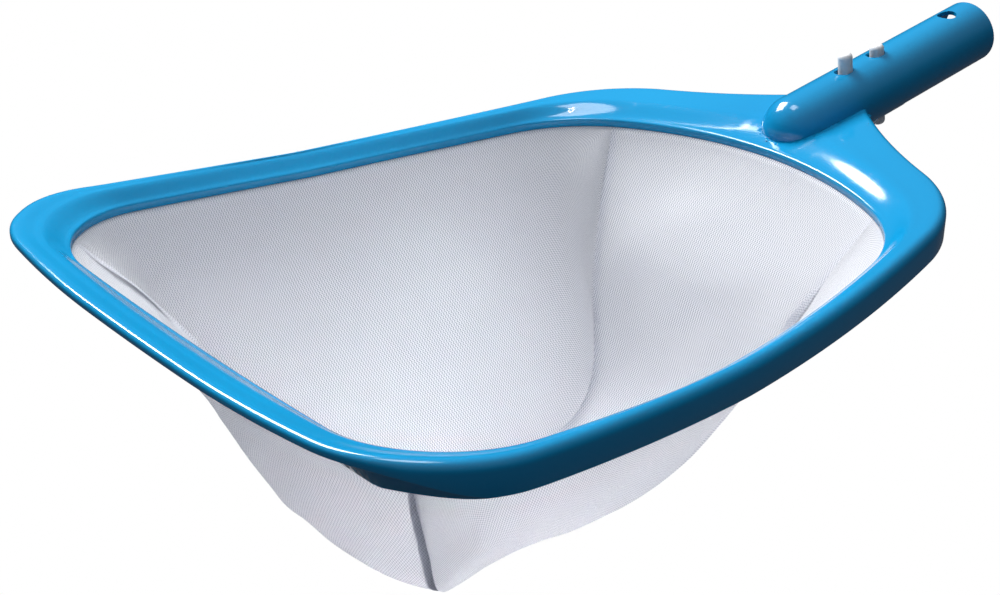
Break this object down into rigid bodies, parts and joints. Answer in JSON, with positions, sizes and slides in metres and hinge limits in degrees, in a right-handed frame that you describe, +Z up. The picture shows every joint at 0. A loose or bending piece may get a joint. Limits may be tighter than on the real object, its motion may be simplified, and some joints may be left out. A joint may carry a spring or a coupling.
{
  "type": "leaf skimmer net",
  "caption": "Deep-bag pool leaf skimmer: a moulded D-shaped hoop with a dished top holds a sewn mesh bag and carries a pole socket tube with a twin-button spring clip.",
  "frame": {"origin": "centre of the socket tube's open mouth", "axes": "+Y from the leading edge towards the pole, level with the hoop; +Z up out of the net; +X across it. The tube rises 10 degrees from the hoop"},
  "size_m": [0.2662, 0.4328, 0.1605],
  "materials": {
    "hoop_plastic": "glossy moulded plastic, bright blue",
    "tube_plastic": "glossy moulded plastic, bright blue",
    "clamp_plastic": "satin moulded plastic, blue",
    "mesh": "fine knitted mesh, white",
    "cord": "twisted cord, white",
    "clip_nylon": "moulded nylon, white",
    "screw_steel": "stainless steel"
  },
  "bodies": {
    "net": {"rim_frame": "hoop_plastic", "handle_tube": "tube_plastic", "handle_screws": "screw_steel", "net_clamp_ring": "clamp_plastic", "clamp_screws": "screw_steel", "hem_cord": "cord", "mesh_center_panel": "mesh", "mesh_left_panel": "mesh", "mesh_right_panel": "mesh", "clip_spring_bow": "clip_nylon"},
    "upper_button": {"clip_upper_arm": "clip_nylon"},
    "lower_button": {"clip_lower_arm": "clip_nylon"}
  },
  "joints": [
    {"name": "upper_press", "type": "hinge", "parent": "net", "child": "upper_button", "pos_m": [0, -0.03807, -0.00296], "axis": [1, 0, 0], "range_deg": [0, 8], "stiffness_Nm_per_rad": 3},
    {"name": "lower_press", "type": "hinge", "parent": "net", "child": "lower_button", "pos_m": [0, -0.03647, -0.01201], "axis": [-1, 0, 0], "range_deg": [0, 8], "stiffness_Nm_per_rad": 3}
  ]
}
